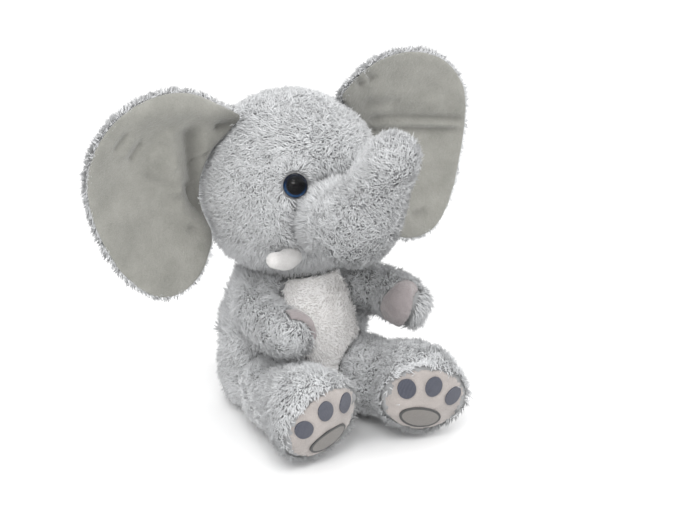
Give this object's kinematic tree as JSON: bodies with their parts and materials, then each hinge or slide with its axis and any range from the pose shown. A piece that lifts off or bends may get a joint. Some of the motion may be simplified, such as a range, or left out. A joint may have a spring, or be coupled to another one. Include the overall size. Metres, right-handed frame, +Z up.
{
  "type": "stuffed elephant",
  "caption": "Seated soft toy elephant: round head, broad dished ears, raised trunk, stub tusks, stubby arms and legs with embroidered soles, for cuddling and display.",
  "frame": {"origin": "on the flat seat at floor level, in the plane of symmetry, under the middle of the body", "axes": "+Z up, the elephant faces -Y, its own left is +X"},
  "size_m": [0.295, 0.2287, 0.2425],
  "materials": {
    "grey_fur": "long soft faux fur, silver grey tips over darker roots",
    "belly_plush": "short off-white plush",
    "ear_velour": "smooth warm grey velour",
    "sole_velour": "smooth pale pinkish grey velour",
    "tusk_velour": "smooth white velour",
    "toe_thread": "slate blue-grey satin-stitch embroidery",
    "pad_thread": "olive grey fill-stitch embroidery",
    "border_thread": "dark grey satin-stitch border",
    "eye_black": "moulded black safety-eye back",
    "eye_blue": "printed navy iris with a black pupil",
    "eye_clear": "clear domed lens over the dark iris",
    "washer_plastic": "natural lock washer",
    "stuffing": "white polyester fibre filling",
    "pellet_cloth": "woven pouch of plastic pellets",
    "neck_thread": "doubled strong grey closing thread"
  },
  "bodies": {
    "torso": {"body_shell": "grey_fur", "belly_panel": "belly_plush", "body_stuffing": "stuffing", "pellet_bag": "pellet_cloth", "neck_stitching": "neck_thread"},
    "head": {"head_shell": "grey_fur", "head_stuffing": "stuffing", "eye_back_right": "eye_black", "eye_iris_right": "eye_blue", "eye_lens_right": "eye_clear", "eye_washer_right": "washer_plastic", "eye_back_left": "eye_black", "eye_iris_left": "eye_blue", "eye_lens_left": "eye_clear", "eye_washer_left": "washer_plastic", "tusk_cover_right": "tusk_velour", "tusk_stuffing_right": "stuffing", "tusk_cover_left": "tusk_velour", "tusk_stuffing_left": "stuffing"},
    "trunk": {"trunk_shell": "grey_fur", "trunk_stuffing": "stuffing"},
    "tail": {"tail": "grey_fur", "tail_tuft": "grey_fur"},
    "ear_right": {"ear_back_right": "grey_fur", "ear_lining_right": "ear_velour"},
    "arm_right": {"arm_shell_right": "grey_fur", "arm_stuffing_right": "stuffing", "palm_pad_right": "sole_velour"},
    "leg_right": {"leg_shell_right": "grey_fur", "leg_stuffing_right": "stuffing", "sole_right": "sole_velour", "toes_right": "toe_thread", "foot_pad_right": "pad_thread", "foot_pad_border_right": "border_thread"},
    "ear_left": {"ear_back_left": "grey_fur", "ear_lining_left": "ear_velour"},
    "arm_left": {"arm_shell_left": "grey_fur", "arm_stuffing_left": "stuffing", "palm_pad_left": "sole_velour"},
    "leg_left": {"leg_shell_left": "grey_fur", "leg_stuffing_left": "stuffing", "sole_left": "sole_velour", "toes_left": "toe_thread", "foot_pad_left": "pad_thread", "foot_pad_border_left": "border_thread"}
  },
  "joints": [
    {"name": "head_turn", "type": "hinge", "parent": "torso", "child": "head", "pos_m": [0, 0.02, 0.102], "axis": [0, 0, 1], "range_deg": [-20, 20], "stiffness_Nm_per_rad": 0.6},
    {"name": "trunk_bend", "type": "hinge", "parent": "head", "child": "trunk", "pos_m": [0, -0.032, 0.151], "axis": [1, 0, 0], "range_deg": [-8, 10], "stiffness_Nm_per_rad": 0.5},
    {"name": "ear_flap_right", "type": "hinge", "parent": "head", "child": "ear_right", "pos_m": [-0.05, 0.027, 0.166], "axis": [0.2425, 0, 0.9701], "range_deg": [-13, 13], "stiffness_Nm_per_rad": 0.06},
    {"name": "ear_flap_left", "type": "hinge", "parent": "head", "child": "ear_left", "pos_m": [0.05, 0.027, 0.166], "axis": [0.2425, 0, -0.9701], "range_deg": [-13, 13], "stiffness_Nm_per_rad": 0.06},
    {"name": "arm_raise_right", "type": "hinge", "parent": "torso", "child": "arm_right", "pos_m": [-0.038, -0.001, 0.084], "axis": [-1, 0, 0], "range_deg": [0, 18], "stiffness_Nm_per_rad": 0.15},
    {"name": "arm_raise_left", "type": "hinge", "parent": "torso", "child": "arm_left", "pos_m": [0.038, -0.001, 0.084], "axis": [-1, 0, 0], "range_deg": [0, 18], "stiffness_Nm_per_rad": 0.15},
    {"name": "leg_splay_right", "type": "hinge", "parent": "torso", "child": "leg_right", "pos_m": [-0.033, -0.022, 0.028], "axis": [0, 0, -1], "range_deg": [-1.5, 25], "stiffness_Nm_per_rad": 0.6},
    {"name": "leg_splay_left", "type": "hinge", "parent": "torso", "child": "leg_left", "pos_m": [0.033, -0.022, 0.028], "axis": [0, 0, 1], "range_deg": [-1.5, 25], "stiffness_Nm_per_rad": 0.6},
    {"name": "tail_swing", "type": "hinge", "parent": "torso", "child": "tail", "pos_m": [0, 0.063, 0.046], "axis": [0, 0, 1], "range_deg": [-15, 15], "stiffness_Nm_per_rad": 0.01}
  ]
}
